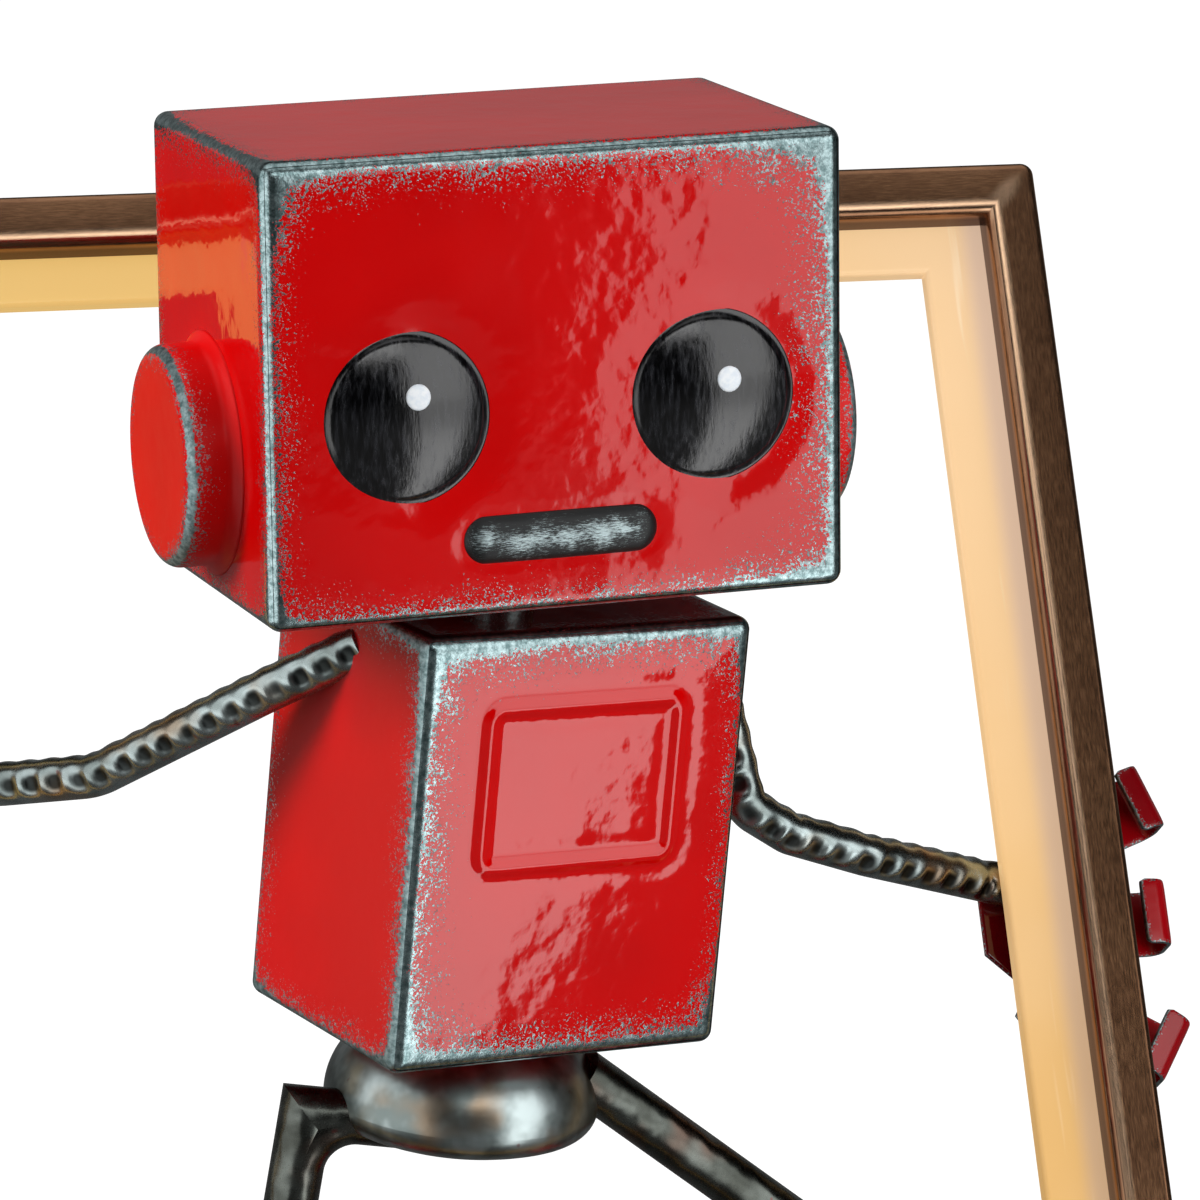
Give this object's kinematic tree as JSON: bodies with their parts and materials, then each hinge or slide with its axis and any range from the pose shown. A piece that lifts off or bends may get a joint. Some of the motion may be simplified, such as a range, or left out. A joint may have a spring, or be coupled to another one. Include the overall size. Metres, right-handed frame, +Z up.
{
  "type": "robot shaped desk lamp",
  "caption": "Desk lamp shaped as a box-headed sheet metal robot that stands behind a leaning picture-frame light and holds it by both upright bars.",
  "frame": {"origin": "middle of the footprint of the whole lamp, on the table", "axes": "+Z up, -Y towards the front, which the face and the lit frame face, +X to the right of somebody looking at the front"},
  "size_m": [0.338, 0.2037, 0.3542],
  "materials": {
    "red_lacquer": "gloss lacquer worn through at the edges",
    "palm_lacquer": "gloss lacquer",
    "eye_enamel": "gloss black enamel, brushed under it",
    "mouth_steel": "darkened, brushed along",
    "hammered_steel": "oiled, hammered",
    "bronze": "dark bronze, brushed along the bars",
    "diffuser": "satin, lit from the edge",
    "back_plate": "satin",
    "light_strip": "satin",
    "zinc_steel": "zinc plated",
    "pad_rubber": "matte",
    "black_plastic": "fine texture",
    "rocker_plastic": "gloss",
    "board_laminate": "satin",
    "lead_jacket": "satin"
  },
  "bodies": {
    "lamp": {"arm_left": "hammered_steel", "arm_right": "hammered_steel", "back_cover": "red_lacquer", "back_plate_bottom": "back_plate", "back_plate_left": "back_plate", "back_plate_right": "back_plate", "back_plate_top": "back_plate", "board_spacers": "black_plastic", "boot_left": "red_lacquer", "boot_right": "red_lacquer", "bracket_screws": "zinc_steel", "corner_brackets": "zinc_steel", "cover_screws": "zinc_steel", "driver_board": "board_laminate", "fingers_left": "red_lacquer", "fingers_right": "red_lacquer", "frame_bottom": "bronze", "frame_lead": "lead_jacket", "frame_left": "bronze", "frame_pads": "pad_rubber", "frame_right": "bronze", "frame_top": "bronze", "jack_nut": "zinc_steel", "led_strip_bottom": "light_strip", "led_strip_left": "light_strip", "led_strip_right": "light_strip", "led_strip_top": "light_strip", "leg_left": "hammered_steel", "leg_right": "hammered_steel", "light_guide_bottom": "diffuser", "light_guide_left": "diffuser", "light_guide_right": "diffuser", "light_guide_top": "diffuser", "neck_nut": "zinc_steel", "neck_post": "hammered_steel", "neck_washer": "zinc_steel", "palm_left": "palm_lacquer", "palm_right": "palm_lacquer", "pelvis_bolt": "zinc_steel", "pelvis_bowl": "hammered_steel", "pelvis_nut": "zinc_steel", "power_jack": "black_plastic", "sole_left": "pad_rubber", "sole_right": "pad_rubber", "switch_housing": "black_plastic", "torso_shell": "red_lacquer"},
    "head": {"head_shell": "red_lacquer", "head_base": "red_lacquer", "mouth_plate": "mouth_steel", "eye_left": "eye_enamel", "eye_right": "eye_enamel", "ear_left": "red_lacquer", "ear_right": "red_lacquer", "stud_nuts": "zinc_steel"},
    "rocker": {"switch_rocker": "rocker_plastic"}
  },
  "joints": [
    {"name": "head_swivel", "type": "hinge", "parent": "lamp", "child": "head", "pos_m": [-0.0012, -0.04651, 0.3036], "axis": [-0.0117, 0.002, 0.9999], "range_deg": [-45, 45]},
    {"name": "switch_rock", "type": "hinge", "parent": "lamp", "child": "rocker", "pos_m": [-0.00899, -0.00969, 0.2256], "axis": [-0.9371, -0.3435, 0.0627], "range_deg": [0, 24]}
  ]
}
